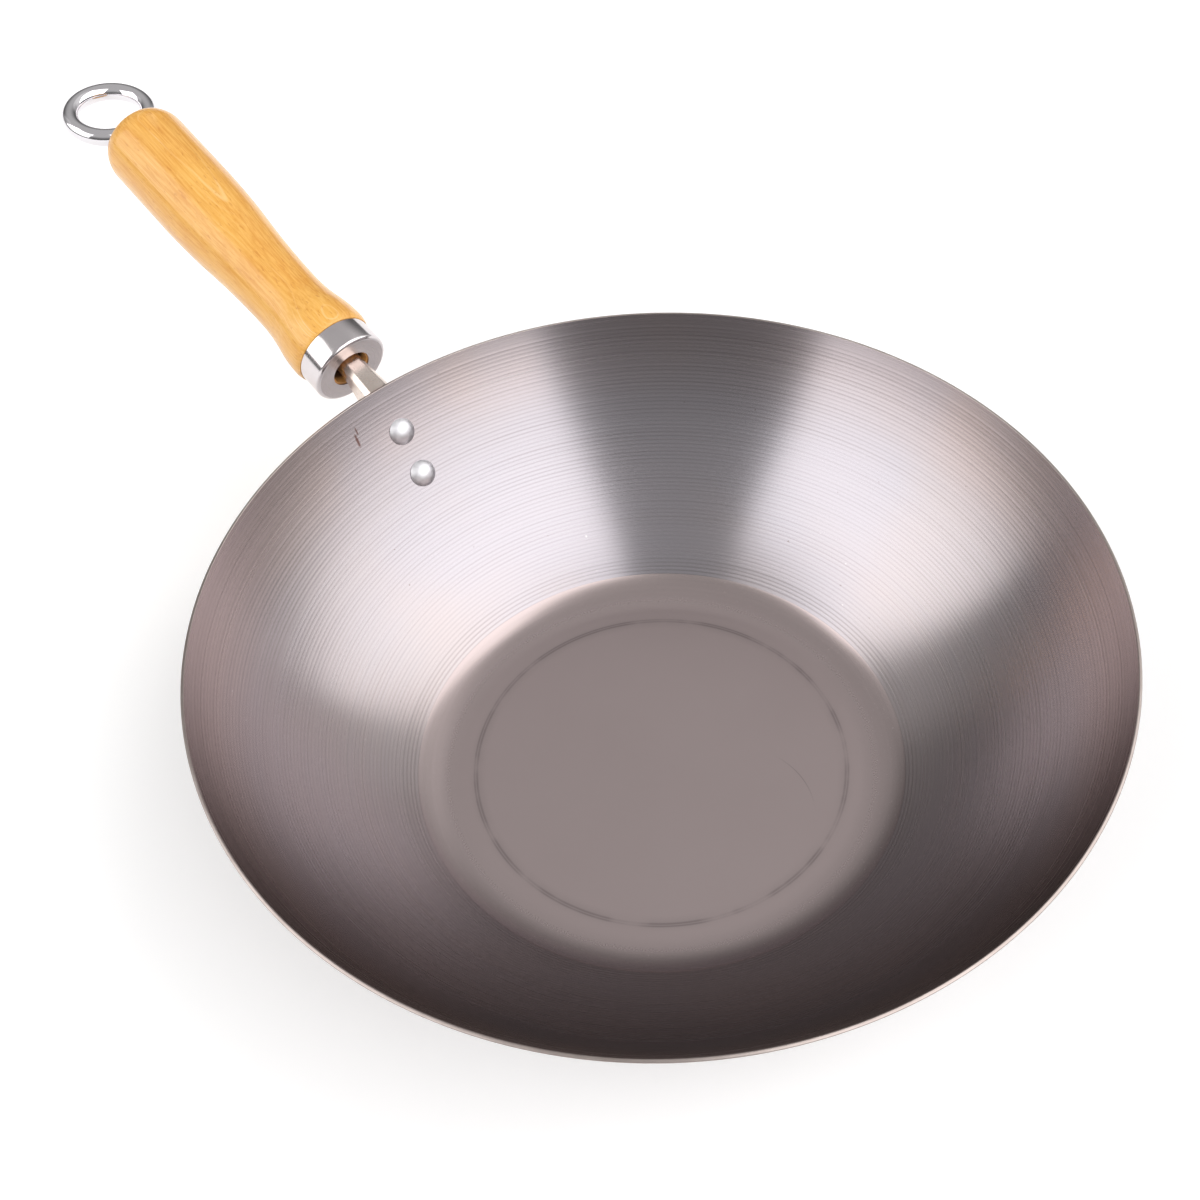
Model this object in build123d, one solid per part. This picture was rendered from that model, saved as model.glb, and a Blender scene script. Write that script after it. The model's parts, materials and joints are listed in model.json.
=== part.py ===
from build123d import *
import math
import os

# A 300 mm carbon steel wok with a turned wooden handle and a hanging ring.
# Millimetres, +Z up. The origin is the centre of the flat underside of the bowl,
# and the handle points along +X, tilted up from the horizontal.

# Bowl
rim_radius = 150.0
bowl_height = 76.8
base_flat_radius = 69.5
base_corner_radius = 28.2
wall_start_angle = 32.5
bowl_sheet = 1.2
rim_round = 0.3

# Rivets, placed by their distance from the rim along the inside of the wall
upper_rivet_from_rim = 18.0
rivet_spacing = 17.2
rivet_shank_radius = 2.5
rivet_hole_clearance = 0.05
rivet_head_radius = 4.85
rivet_head_height = 2.8
rivet_head_rim = 0.5
rivet_tail_radius = 4.0
rivet_tail_height = 1.7
rivet_tail_round = 0.6

# Handle axis, placed where it meets the front face of the ferrule
neck_reach = 18.8
neck_drop = 3.8
handle_tilt = 12.4

# Bracket: rivet plate, tapered inverted-U neck and straight tang
bracket_sheet = 1.5
plate_width = 24.0
plate_top_from_rim = 6.5
plate_end_margin = 8.5
plate_corner_radius = 7.0
channel_top = 5.5
channel_bend_radius = 2.3
tang_width = 8.8
tang_flange = 5.7
tang_length = 45.0
neck_mid_from_ferrule = 12.0
neck_mid_width = 9.8
neck_mid_spread = 11.4
neck_mid_flange = 8.2
neck_root_from_ferrule = 29.0
neck_root_width = 11.4
neck_root_spread = 19.0
neck_root_flange = 12.0

# Ferrule, a polished cup with a hole in its front face
ferrule_radius = 15.1
ferrule_length = 10.8
ferrule_sheet = 1.0
ferrule_hole_radius = 7.7
ferrule_edge_round = 1.4
ferrule_mouth_round = 0.3

# Wooden grip, turned; lengths run from the front face of the ferrule
grip_front_radius = 15.3
bead_radius = 16.05
bead_from_ferrule = 14.3
waist_radius = 13.47
waist_from_ferrule = 39.5
waist_turn_share = 0.42
belly_radius = 16.49
belly_from_ferrule = 103.5
belly_turn_share = 0.5
end_round_from_ferrule = 134.0
end_round_radius = 13.1
end_round_angle = 30.0
end_edge_radius = 2.5
spigot_clearance = 0.02
grip_mouth_radius = 7.2
grip_mouth_depth = 12.0
tang_bore_clearance = 0.1
rod_bore_clearance = 0.3
bore_end_gap = 2.0

# Tie rod, nut and washer
rod_radius = 2.5
thread_clearance = 0.05
rod_tip_chamfer = 0.4
nut_width = 8.0
nut_height = 4.0
nut_chamfer = 0.3
washer_radius = 7.0
washer_thickness = 0.8
washer_hole_clearance = 0.15
washer_edge_round = 0.2

# Hanging ring of round bar, set slightly askew on the head of the rod
ring_major_radius = 15.1
ring_bar_radius = 3.45
ring_roll = 3.9
ring_droop = 7.3
ring_aside = 4.3
ring_seat_gap = 0.15
rod_spigot_radius = 2.0

# One overrun for every cut that has to pass a face
overrun = 5.0


def polar(centre, radius, angle):
    """A point of the wall arc, at this angle of slope."""
    a = math.radians(angle)
    return (centre[0] + radius * math.sin(a), centre[1] - radius * math.cos(a))


def wall_arc():
    """Centre, outer radius and rim slope of the wall arc, tangent to the base corner."""
    start = polar((base_flat_radius, base_corner_radius), base_corner_radius, wall_start_angle)
    run = rim_radius - start[0]
    rise = bowl_height - start[1]
    chord = math.hypot(run, rise)
    chord_angle = math.degrees(math.atan2(rise, run))
    half_turn = chord_angle - wall_start_angle
    radius = chord / (2 * math.sin(math.radians(half_turn)))
    a = math.radians(wall_start_angle)
    centre = (start[0] - radius * math.sin(a), start[1] + radius * math.cos(a))
    return centre, radius, chord_angle + half_turn


wall_centre, wall_radius, rim_angle = wall_arc()
inner_wall_radius = wall_radius - bowl_sheet


def angle_from_rim(distance):
    """Slope angle at this distance from the rim, measured along the inside of the wall."""
    return rim_angle - math.degrees(distance / inner_wall_radius)


def skin_edges(depth):
    """Base, corner and wall outline, this far inside the outer surface."""
    corner_end = polar((base_flat_radius, base_corner_radius), base_corner_radius - depth, wall_start_angle)
    corner_mid = polar((base_flat_radius, base_corner_radius), base_corner_radius - depth, wall_start_angle / 2)
    wall_mid = polar(wall_centre, wall_radius - depth, (wall_start_angle + rim_angle) / 2)
    rim_point = polar(wall_centre, wall_radius - depth, rim_angle)
    base = Line((0, depth), (base_flat_radius, depth))
    corner = ThreePointArc((base_flat_radius, depth), corner_mid, corner_end)
    wall = ThreePointArc(corner_end, wall_mid, rim_point)
    return [base, corner, wall], rim_point


def turned(edges, axis):
    """A solid turned from a closed outline about this axis."""
    return revolve(Plane.XZ * make_face(edges), axis, 360)


def filled_bowl(depth):
    """Everything inside the skin that lies this deep under the outer surface."""
    edges, rim_point = skin_edges(depth)
    top = bowl_height + overrun
    edges += [
        Line(rim_point, (rim_point[0], top)),
        Line((rim_point[0], top), (0, top)),
        Line((0, top), (0, depth)),
    ]
    return turned(edges, Axis.Z)


def wall_plane(distance, depth=0):
    """Plane on the wall at this distance from the rim: x runs up the slope, z points outwards."""
    angle = angle_from_rim(distance)
    x, z = polar(wall_centre, wall_radius - depth, angle)
    a = math.radians(angle)
    return Plane(origin=(x, 0, z), x_dir=(math.cos(a), 0, math.sin(a)), z_dir=(math.sin(a), 0, -math.cos(a)))


lower_rivet_from_rim = upper_rivet_from_rim + rivet_spacing
tang_bore_radius = tang_bore_clearance + channel_bend_radius + math.hypot(
    tang_width / 2 - channel_bend_radius, channel_top - channel_bend_radius
)
nut_end = tang_length + nut_height
end_round_turn = math.sin(math.radians(end_round_angle))
grip_length = end_round_from_ferrule + end_round_radius * end_round_turn + end_edge_radius * (1 - end_round_turn)
washer_face = grip_length + washer_thickness
ring_seat = washer_face + ring_seat_gap
spigot_end = ring_seat + ring_bar_radius
handle_x = rim_radius + neck_reach
handle_z = bowl_height - neck_drop
tilt = math.radians(handle_tilt)
handle_place = Location(
    Plane(origin=(handle_x, 0, handle_z), x_dir=(math.cos(tilt), 0, math.sin(tilt)),
          z_dir=(-math.sin(tilt), 0, math.cos(tilt)))
)


def rod_cut(radius, start, end):
    """A cylinder along the handle axis, between two distances from the ferrule's front face."""
    return Location((start, 0, 0), (0, 90, 0)) * Cylinder(
        radius, end - start, align=(Align.CENTER, Align.CENTER, Align.MIN)
    )


def rivet_hole(distance):
    """A hole for the rivet shank, square to the wall."""
    radius = rivet_shank_radius + rivet_hole_clearance
    return Location(wall_plane(distance)) * Cylinder(radius, 2 * (bracket_sheet + overrun))


def bowl():
    inner, inner_rim = skin_edges(bowl_sheet)
    outer, outer_rim = skin_edges(0)
    outline = inner + outer + [Line(inner_rim, outer_rim), Line((0, 0), (0, bowl_sheet))]
    body = turned(outline, Axis.Z)
    rim_edges = body.edges().filter_by(GeomType.CIRCLE).sort_by(Axis.Z)[-2:]
    body = fillet(rim_edges, rim_round)
    return body - rivet_hole(upper_rivet_from_rim) - rivet_hole(lower_rivet_from_rim)


def channel_face(place, width, spread, flange, inset):
    """Section of the inverted U across the handle axis, or of the space inside it."""
    top = channel_top - inset
    foot = channel_top - flange - inset
    half_top = width / 2 - inset
    half_foot = spread / 2 - inset
    outline = Polyline(
        (-half_top, top), (half_top, top), (half_foot, foot), (-half_foot, foot), close=True
    )
    face = make_face(outline)
    corners = face.vertices().sort_by(Axis.Y)[-2:]
    face = fillet(corners, channel_bend_radius - inset)
    section = Plane(origin=(place, 0, 0), x_dir=(0, 1, 0), z_dir=(1, 0, 0))
    return section * face


def channel_solid(inset):
    """Neck and tang as one bar: the outside of the inverted U, or the space inside it."""
    root = channel_face(-neck_root_from_ferrule, neck_root_width, neck_root_spread, neck_root_flange, inset)
    middle = channel_face(-neck_mid_from_ferrule, neck_mid_width, neck_mid_spread, neck_mid_flange, inset)
    front = channel_face(0, tang_width, tang_width, tang_flange, inset)
    neck = loft([root, middle, front], ruled=True)
    tang = extrude(front, tang_length, dir=(1, 0, 0))
    return neck + tang


def rivet_plate():
    """Plate that follows the outside of the wall, under both rivets."""
    outer, outer_rim = skin_edges(-bracket_sheet)
    inner, inner_rim = skin_edges(0)
    outline = inner + outer + [Line(inner_rim, outer_rim), Line((0, 0), (0, -bracket_sheet))]
    shell = turned(outline, Axis.Z)
    length = lower_rivet_from_rim + plate_end_margin - plate_top_from_rim
    middle = plate_top_from_rim + length / 2
    blank = extrude(
        wall_plane(middle) * RectangleRounded(length, plate_width, plate_corner_radius),
        overrun, both=True,
    )
    return shell & blank


def handle_bracket():
    neck = handle_place * (channel_solid(0) - channel_solid(bracket_sheet))
    body = neck - filled_bowl(0) + rivet_plate()
    return body - rivet_hole(upper_rivet_from_rim) - rivet_hole(lower_rivet_from_rim)


def near(sketch, x, y):
    """The corner of a flat outline that lies nearest to this place."""
    return sketch.vertices().sort_by_distance((x, y, 0))[0]


def rivet(distance):
    """Solid rivet: domed head on the inside of the wall, closed tail on the plate."""
    dome = [
        Line((0, -bowl_sheet), (rivet_head_radius, -bowl_sheet)),
        Line((rivet_head_radius, -bowl_sheet), (rivet_head_radius, rivet_head_rim)),
        TangentArc((0, rivet_head_height), (rivet_head_radius, rivet_head_rim), tangent=(1, 0)),
        Line((0, rivet_head_height), (0, -bowl_sheet)),
    ]
    inside = -wall_plane(distance, bowl_sheet)
    head = Location(inside) * turned(dome, Axis.Z) & filled_bowl(bowl_sheet)
    tail_top = bracket_sheet + rivet_tail_height
    tail_outline = Rectangle(rivet_tail_radius, tail_top, align=(Align.MIN, Align.MIN))
    tail_outline = fillet(near(tail_outline, rivet_tail_radius, tail_top), rivet_tail_round)
    outside = Location(wall_plane(distance))
    tail = outside * revolve(Plane.XZ * tail_outline, Axis.Z, 360) - filled_bowl(-bracket_sheet)
    grip = bowl_sheet + rivet_head_rim
    shank = outside * Pos(0, 0, -grip) * Cylinder(
        rivet_shank_radius, grip + tail_top - rivet_tail_round, align=(Align.CENTER, Align.CENTER, Align.MIN)
    )
    return head + shank + tail


def ferrule():
    """Cup turned about the handle axis, its front face at the axis origin."""
    section = Rectangle(ferrule_length, ferrule_radius, align=(Align.MIN, Align.MIN))
    hollow = Pos(ferrule_sheet, 0) * Rectangle(
        ferrule_length, ferrule_radius - ferrule_sheet, align=(Align.MIN, Align.MIN)
    )
    hole = Rectangle(ferrule_sheet, ferrule_hole_radius, align=(Align.MIN, Align.MIN))
    section = section - hollow - hole
    section = fillet(near(section, 0, ferrule_radius), ferrule_edge_round)
    section = fillet(near(section, ferrule_length, ferrule_radius), ferrule_mouth_round)
    section = fillet(near(section, 0, ferrule_hole_radius), ferrule_mouth_round)
    return handle_place * revolve(Plane.XZ * section, Axis.X, 360)


def s_curve(start, end, share):
    """Two tangent arcs, level at both ends, that change sides at this share of the way."""
    turn = (start[0] + (end[0] - start[0]) * share, start[1] + (end[1] - start[1]) * share)
    first = TangentArc(start, turn, tangent=(1, 0))
    second = TangentArc(turn, end, tangent=first % 1)
    return [first, second]


def wooden_grip():
    """Turned grip: spigot, bead, waist, belly and a rounded end, bored for the tang and the rod."""
    spigot_radius = ferrule_radius - ferrule_sheet - spigot_clearance
    spigot_start = (ferrule_sheet, spigot_radius)
    shoulder = (ferrule_length, grip_front_radius)
    bead = (bead_from_ferrule, bead_radius)
    waist = (waist_from_ferrule, waist_radius)
    belly = (belly_from_ferrule, belly_radius)
    round_start = (end_round_from_ferrule, belly_radius)
    end_round = JernArc(round_start, (1, 0), end_round_radius, -end_round_angle)
    end_edge = JernArc(end_round @ 1, end_round % 1, end_edge_radius, end_round_angle - 90)
    outline = [
        Line((ferrule_sheet, 0), spigot_start),
        Line(spigot_start, (ferrule_length, spigot_radius)),
        Line((ferrule_length, spigot_radius), shoulder),
        TangentArc(bead, shoulder, tangent=(-1, 0)),
        *s_curve(bead, waist, waist_turn_share),
        *s_curve(waist, belly, belly_turn_share),
        Line(belly, round_start),
        end_round,
        end_edge,
        Line(end_edge @ 1, (grip_length, 0)),
        Line((grip_length, 0), (ferrule_sheet, 0)),
    ]
    body = turned(outline, Axis.X)
    mouth_end = ferrule_sheet + grip_mouth_depth
    body -= rod_cut(grip_mouth_radius, 0, mouth_end)
    body -= rod_cut(tang_bore_radius, 0, nut_end + bore_end_gap)
    body -= rod_cut(rod_radius + rod_bore_clearance, 0, grip_length + overrun)
    return handle_place * body


def tang_nut():
    """Square nut on the end of the tang; its plain bore stands for the thread."""
    section = Plane(origin=(tang_length, 0, 0), x_dir=(0, 1, 0), z_dir=(1, 0, 0))
    body = extrude(section * Rectangle(nut_width, nut_width), nut_height)
    bore = rod_radius + thread_clearance
    body -= rod_cut(bore, 0, nut_end + overrun)
    mouths = body.edges().filter_by(GeomType.CIRCLE)
    return handle_place * chamfer(mouths, nut_chamfer)


def tie_rod():
    """Rod from the nut through the grip and the washer, with a spigot in the ring."""
    section = Pos(tang_length, 0) * Rectangle(
        washer_face - tang_length, rod_radius, align=(Align.MIN, Align.MIN)
    )
    section = chamfer(near(section, tang_length, rod_radius), rod_tip_chamfer)
    body = revolve(Plane.XZ * section, Axis.X, 360) + rod_cut(rod_spigot_radius, tang_length, spigot_end)
    return handle_place * body


def end_washer():
    hole = rod_radius + washer_hole_clearance
    section = Pos(grip_length, hole) * Rectangle(
        washer_thickness, washer_radius - hole, align=(Align.MIN, Align.MIN)
    )
    section = fillet(near(section, washer_face, washer_radius), washer_edge_round)
    return handle_place * revolve(Plane.XZ * section, Axis.X, 360)


def hanging_ring():
    """Round bar ring whose near side is drilled for the spigot of the rod."""
    reach = ring_major_radius + ring_bar_radius
    seat = Location((ring_seat, 0, 0), (ring_roll, ring_droop, ring_aside))
    ring = seat * Pos(reach, 0, 0) * Torus(ring_major_radius, ring_bar_radius)
    return handle_place * (ring - rod_cut(rod_spigot_radius, tang_length, spigot_end))


parts = {
    "bowl": bowl(),
    "handle_bracket": handle_bracket(),
    "upper_rivet": rivet(upper_rivet_from_rim),
    "lower_rivet": rivet(lower_rivet_from_rim),
    "ferrule": ferrule(),
    "wooden_grip": wooden_grip(),
    "tang_nut": tang_nut(),
    "tie_rod": tie_rod(),
    "end_washer": end_washer(),
    "hanging_ring": hanging_ring(),
}

os.makedirs("parts", exist_ok=True)
for name, part in parts.items():
    export_step(part, f"parts/{name}.step")
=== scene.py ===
import json
import math
import random

import bmesh
import bpy
from mathutils import Matrix, Vector


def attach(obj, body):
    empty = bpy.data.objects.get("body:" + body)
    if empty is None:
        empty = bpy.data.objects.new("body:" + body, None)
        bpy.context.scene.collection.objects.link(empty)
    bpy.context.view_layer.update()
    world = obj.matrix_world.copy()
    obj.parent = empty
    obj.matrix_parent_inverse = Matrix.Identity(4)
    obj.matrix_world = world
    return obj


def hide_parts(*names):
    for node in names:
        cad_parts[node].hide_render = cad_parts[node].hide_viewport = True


# A carbon steel wok with a turned wooden handle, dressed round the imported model.
# Metres, +Z up; the handle points along +X.

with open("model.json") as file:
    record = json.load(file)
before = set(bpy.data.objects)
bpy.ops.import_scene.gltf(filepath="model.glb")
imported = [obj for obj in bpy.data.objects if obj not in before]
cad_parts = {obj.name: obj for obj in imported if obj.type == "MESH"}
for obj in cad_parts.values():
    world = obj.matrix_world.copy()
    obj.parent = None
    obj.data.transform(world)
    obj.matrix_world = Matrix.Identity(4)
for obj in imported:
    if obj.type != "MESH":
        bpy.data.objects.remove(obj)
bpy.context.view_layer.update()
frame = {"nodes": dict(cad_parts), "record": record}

mm = 0.001

# Bowl
rim_radius = 150.0 * mm
bowl_height = 76.8 * mm
base_flat_radius = 69.5 * mm
base_corner_radius = 28.2 * mm
wall_start_angle = math.radians(32.5)
bowl_sheet = 1.2 * mm
rim_round = 0.3 * mm
bowl_sides = 256

# Ridges that the spinning roller left on the inside of the wall. The mesh has points at ridge_places, as
# shares of each pitch. The heights vary within ridge_gains and start at ridge_start_share of their full size,
# which they reach after full_ridges. The first ones are higher.
ridge_pitch = 1.45 * mm
ridge_height = 0.017 * mm
ridge_places = (0.0, 0.08, 0.5, 0.92)
ridge_gains = (0.55, 1.25)
ridge_start_share = 0.4
full_ridges = 50
first_ridges = 4
first_ridge_gain = 3.0
smooth_rim_band = 3.2 * mm
outer_steps = 34
# Painted shade along each crest, a dark line that stands in for the shade of the ridges: how far it reaches
# to each side, as a share of the pitch, and how dark it is
ridge_shade_reach = 0.34
ridge_shade_strength = 0.34

# Two small rust marks near the rim, left of the rivets: middle and reach in x, y and z
rust_marks = (
    ((143.9 * mm, 16.0 * mm, 69.6 * mm), (2.0 * mm, 0.35 * mm, 1.7 * mm)),
    ((142.3 * mm, 17.2 * mm, 66.9 * mm), (3.1 * mm, 0.62 * mm, 2.9 * mm)),
)

# Heat left a faint blue on this side of the wall
tempered_side = (0.77, -0.64, 0.0)

# Ring that the press marked on the base, a double line
base_mark_radius = 64.0 * mm
base_mark_gap = 0.9 * mm

# A fine curved scratch on the base: the middle and the radius of its arc
scratch_middle = (-31.9 * mm, -4.4 * mm)
scratch_radius = 28.1 * mm

# Rivets
upper_rivet_from_rim = 18.0 * mm
rivet_spacing = 17.2 * mm
rivet_head_radius = 4.85 * mm
rivet_head_height = 2.8 * mm
rivet_head_rim = 0.5 * mm
rivet_edge_round = 0.18 * mm
rivet_seat_depth = 0.4 * mm
rivet_shank_radius = 2.5 * mm
rivet_tail_radius = 4.0 * mm
rivet_tail_height = 1.7 * mm
rivet_tail_round = 0.6 * mm
bracket_sheet = 1.5 * mm

# Bracket: a plate on the outside of the wall, a tapered neck of inverted-U section and a straight tang.
# neck_shape gives the width of the section's top, the spread of its feet and the height of its sides, each at
# the three neck_stations. The setbacks and edge rounds shape the flattened bends of its two skins.
plate_width = 24.0 * mm
plate_top_from_rim = 6.5 * mm
plate_end_margin = 8.5 * mm
plate_corner_radius = 7.0 * mm
plate_edge_round = 0.4 * mm
channel_top = 5.5 * mm
neck_stations = (-29.0 * mm, -12.0 * mm, 0.0)
neck_shape = (
    (11.4 * mm, 9.8 * mm, 8.8 * mm),
    (19.0 * mm, 11.4 * mm, 8.8 * mm),
    (12.0 * mm, 8.2 * mm, 5.7 * mm),
)
neck_search_depth = 45.0 * mm
neck_flare = 1.5 * mm
bend_setback = 1.9 * mm
bend_edge_round = 0.6 * mm
inner_bend_setback = 0.9 * mm
inner_bend_edge_round = 0.3 * mm

# Handle axis, from the front face of the ferrule
neck_reach = 18.8 * mm
neck_drop = 3.8 * mm
handle_tilt = math.radians(12.4)

# Ferrule
ferrule_radius = 15.1 * mm
ferrule_length = 10.8 * mm
ferrule_sheet = 1.0 * mm
ferrule_hole_radius = 7.7 * mm
ferrule_edge_round = 1.4 * mm
ferrule_mouth_round = 0.3 * mm

# Wooden grip
grip_front_radius = 15.3 * mm
bead_radius = 16.05 * mm
bead_from_ferrule = 14.3 * mm
waist_radius = 13.47 * mm
waist_from_ferrule = 39.5 * mm
waist_turn_share = 0.42
belly_radius = 16.49 * mm
belly_from_ferrule = 103.5 * mm
belly_turn_share = 0.5
end_round_from_ferrule = 134.0 * mm
end_round_radius = 13.1 * mm
end_round_angle = math.radians(30.0)
end_edge_radius = 2.5 * mm
grip_mouth_radius = 7.2 * mm
grip_mouth_depth = 12.0 * mm
spigot_clearance = 0.02 * mm
tang_bore_radius = 6.23 * mm
tang_bore_depth = 51.0 * mm
rod_bore_radius = 2.8 * mm

# Growth layers of the wood: they face this way round the handle, counted from its top
layer_facing = math.radians(9.0)
layer_pitch = 0.6 * mm

# Tie rod, nut and washer, along the handle axis
tang_length = 45.0 * mm
rod_radius = 2.5 * mm
rod_tip_chamfer = 0.4 * mm
rod_spigot_radius = 2.0 * mm
ring_seat_gap = 0.15 * mm
washer_radius = 7.0 * mm
washer_thickness = 0.8 * mm
washer_hole_radius = 2.65 * mm
washer_edge_round = 0.2 * mm

# Hanging ring
ring_major_radius = 15.1 * mm
ring_bar_radius = 3.45 * mm

# Smoothness of the turned meshes: sides round the axis
rivet_sides = 64
handle_sides = 128
rod_sides = 48
washer_sides = 64
ring_sides = 144
ring_bar_sides = 48

# Colours, as linear red, green and blue. A pair of shades runs from the darker to the lighter.
wall_shades = ((0.378, 0.332, 0.328), (0.466, 0.409, 0.404))
wall_band_colour = (0.39, 0.36, 0.375)
wall_cloud_colour = (0.43, 0.36, 0.345)
wall_rim_colour = (0.56, 0.43, 0.383)
tempered_colour = (0.365, 0.365, 0.42)
# Painted shade along the crests of the spun ridges
ridge_shade_colour = (0.15, 0.125, 0.12)
pit_colour = (0.16, 0.11, 0.09)
fleck_colour = (0.75, 0.72, 0.70)
rust_colour = (0.13, 0.045, 0.03)
wall_edge_tint = (0.15, 0.145, 0.145)
base_shades = ((0.493, 0.406, 0.400), (0.528, 0.438, 0.433))
# Painted shade on the rounded corner between the base and the wall
corner_shade_colour = (0.26, 0.225, 0.215)
base_mark_colour = (0.10, 0.085, 0.085)
scratch_colour = (0.16, 0.14, 0.135)
cut_steel_shades = ((0.32, 0.265, 0.245), (0.46, 0.40, 0.375))
nickel_shades = ((0.74, 0.63, 0.565), (0.82, 0.72, 0.655))
polished_shades = ((0.66, 0.61, 0.615), (0.74, 0.69, 0.695))
satin_plate_shades = ((0.50, 0.445, 0.445), (0.58, 0.52, 0.52))
aluminium_shades = ((0.78, 0.765, 0.80), (0.90, 0.89, 0.905))
zinc_shades = ((0.58, 0.58, 0.60), (0.68, 0.675, 0.68))
chrome_colour = (0.77, 0.745, 0.765)
wood_shades = ((0.71, 0.305, 0.04), (0.815, 0.405, 0.07))
wood_fibre_colour = (0.90, 0.51, 0.13)
wood_line_colour = (0.95, 0.62, 0.26)
wood_pore_colour = (0.62, 0.23, 0.03)
end_grain_shades = ((0.62, 0.28, 0.07), (0.80, 0.43, 0.14))
# Painted shade deep in the bores
bore_shade_colour = (0.09, 0.04, 0.015)

# Studio, in degrees; azimuths run counter-clockwise from the right of the picture.
# The plain light grows from the first level to the second between the two elevations.
plain_light_elevations = (10, 46)
plain_light_levels = (0.13, 0.52)
# Lit panels: from and to azimuth, from and to elevation, softness of the edge, slant and strength.
# The azimuths move by slant for each degree that the elevation is below slant_level.
slant_level = 42
panels = (
    (-74, 23, 14, 68, 2, 0.2, 2.12),
    (164, 230, 11, 55, 2, -0.1, 2.15),
    (24, 64, -10, 60, 8, 0.0, 0.3),
    (24, 45, -10, 34, 6, 0.0, 0.25),
    (140, 163, -10, 40, 5, 0.0, 0.2),
)
floor_half = 40.0
floor_colour = (0.88, 0.88, 0.88)
floor_glow = 0.22

# Camera, fitted to the photograph: the middle of the base shows at this pixel of 1200
picture_size = 1200
picture_aim = (660.5, 762.8)
picture_turn = math.radians(-126.87)
camera_elevation = math.radians(49.37)
camera_roll = math.radians(-4.25)
camera_distance = 628.0 * mm
camera_lens = 54.13
camera_sensor = 36.0


def wall_arc():
    """Centre, outer radius and rim angle of the wall, in the plane through the axis."""
    start_x = base_flat_radius + base_corner_radius * math.sin(wall_start_angle)
    start_z = base_corner_radius - base_corner_radius * math.cos(wall_start_angle)
    run = rim_radius - start_x
    rise = bowl_height - start_z
    chord_angle = math.atan2(rise, run)
    half_turn = chord_angle - wall_start_angle
    radius = math.hypot(run, rise) / (2 * math.sin(half_turn))
    centre = (start_x - radius * math.sin(wall_start_angle), start_z + radius * math.cos(wall_start_angle))
    return centre, radius, chord_angle + half_turn


wall_centre, wall_radius, rim_angle = wall_arc()
wall_length = (rim_angle - wall_start_angle) * (wall_radius - bowl_sheet)


def on_arc(centre, radius, angle):
    """A point of an arc that starts at its lowest point and climbs outwards."""
    return (centre[0] + radius * math.sin(angle), centre[1] - radius * math.cos(angle))


def spread(start, end, steps):
    """Evenly spaced values from start to end, both included."""
    return [start + (end - start) * i / steps for i in range(steps + 1)]


def bend(points, heading, radius, turn, steps):
    """Adds an arc that leaves the last point at this heading. Returns the heading at its end."""
    x, y = points[-1]
    for part in spread(0.0, turn, steps)[1:]:
        chord = 2 * radius * math.sin(abs(part) / 2)
        way = heading + part / 2
        points.append((x + chord * math.cos(way), y + chord * math.sin(way)))
    return heading + turn


def bend_to(points, heading, end, steps):
    """Adds the arc that leaves the last point at this heading and ends at this point."""
    run = end[0] - points[-1][0]
    rise = end[1] - points[-1][1]
    turn = math.remainder(2 * (math.atan2(rise, run) - heading), 2 * math.pi)
    radius = math.hypot(run, rise) / (2 * math.sin(abs(turn) / 2))
    return bend(points, heading, radius, turn, steps)


def link(name, mesh, material, body, slot, *nodes, place=None):
    """Puts a finished mesh in the scene, riding on its body and standing for its CAD nodes."""
    piece = bpy.data.objects.new(name, mesh)
    bpy.context.scene.collection.objects.link(piece)
    if place is not None:
        piece.matrix_world = place
    for m in material if isinstance(material, list) else [material]:
        mesh.materials.append(m)
    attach(piece, body)
    if nodes:
        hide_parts(*nodes)
    return piece


def turned(name, outline, sides, zones=None, closed=False, sharp=30):
    """A mesh turned about z from (radius, height) points. zones gives each band's material index."""
    pairs = list(zip(outline, outline[1:] + outline[:1]))
    area = sum(p[0] * q[1] - q[0] * p[1] for p, q in pairs)
    zones = list(zones or [0] * len(outline))
    if area < 0:
        outline = outline[::-1]
        last = zones[-1:] if closed else []
        zones = (zones[:-1] if closed else zones)[::-1] + last
    loops = []
    points = []
    for radius, height in outline:
        if radius < 1e-9:
            loops.append([len(points)])
            points.append((0, 0, height))
            continue
        loops.append(list(range(len(points), len(points) + sides)))
        for i in range(sides):
            a = 2 * math.pi * i / sides
            points.append((radius * math.cos(a), radius * math.sin(a), height))
    faces = []
    slots = []
    bands = list(zip(loops, loops[1:]))
    if closed:
        bands.append((loops[-1], loops[0]))
    for band, (a, b) in enumerate(bands):
        for i in range(sides):
            j = (i + 1) % sides
            corners = [a[i % len(a)], a[j % len(a)], b[j % len(b)], b[i % len(b)]]
            face = list(dict.fromkeys(corners))
            if len(face) > 2:
                faces.append(face)
                slots.append(zones[band])
    mesh = bpy.data.meshes.new(name)
    mesh.from_pydata(points, [], faces)
    mesh.polygons.foreach_set("material_index", slots)
    mesh.polygons.foreach_set("use_smooth", [True] * len(faces))
    mesh.update()
    mesh.set_sharp_from_angle(angle=math.radians(sharp))
    return mesh


def turned_along(name, outline, sides, **options):
    """The same for outlines given as (distance along the handle, radius) points."""
    return turned(name, [(radius, along) for along, radius in outline], sides, **options)


handle_place = Matrix((
    (-math.sin(handle_tilt), 0.0, math.cos(handle_tilt), rim_radius + neck_reach),
    (0.0, -1.0, 0.0, 0.0),
    (math.cos(handle_tilt), 0.0, math.sin(handle_tilt), bowl_height - neck_drop),
    (0.0, 0.0, 0.0, 1.0),
))


# Materials


def put(nodes, kind, settings=None, inputs=None):
    """A shader node with its settings and inputs; an input is a value or another node's output."""
    n = nodes.new(kind)
    for key, value in (settings or {}).items():
        setattr(n, key, value)
    for key, value in (inputs or {}).items():
        if isinstance(value, bpy.types.NodeSocket):
            nodes.id_data.links.new(value, n.inputs[key])
        else:
            n.inputs[key].default_value = value
    return n


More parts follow.
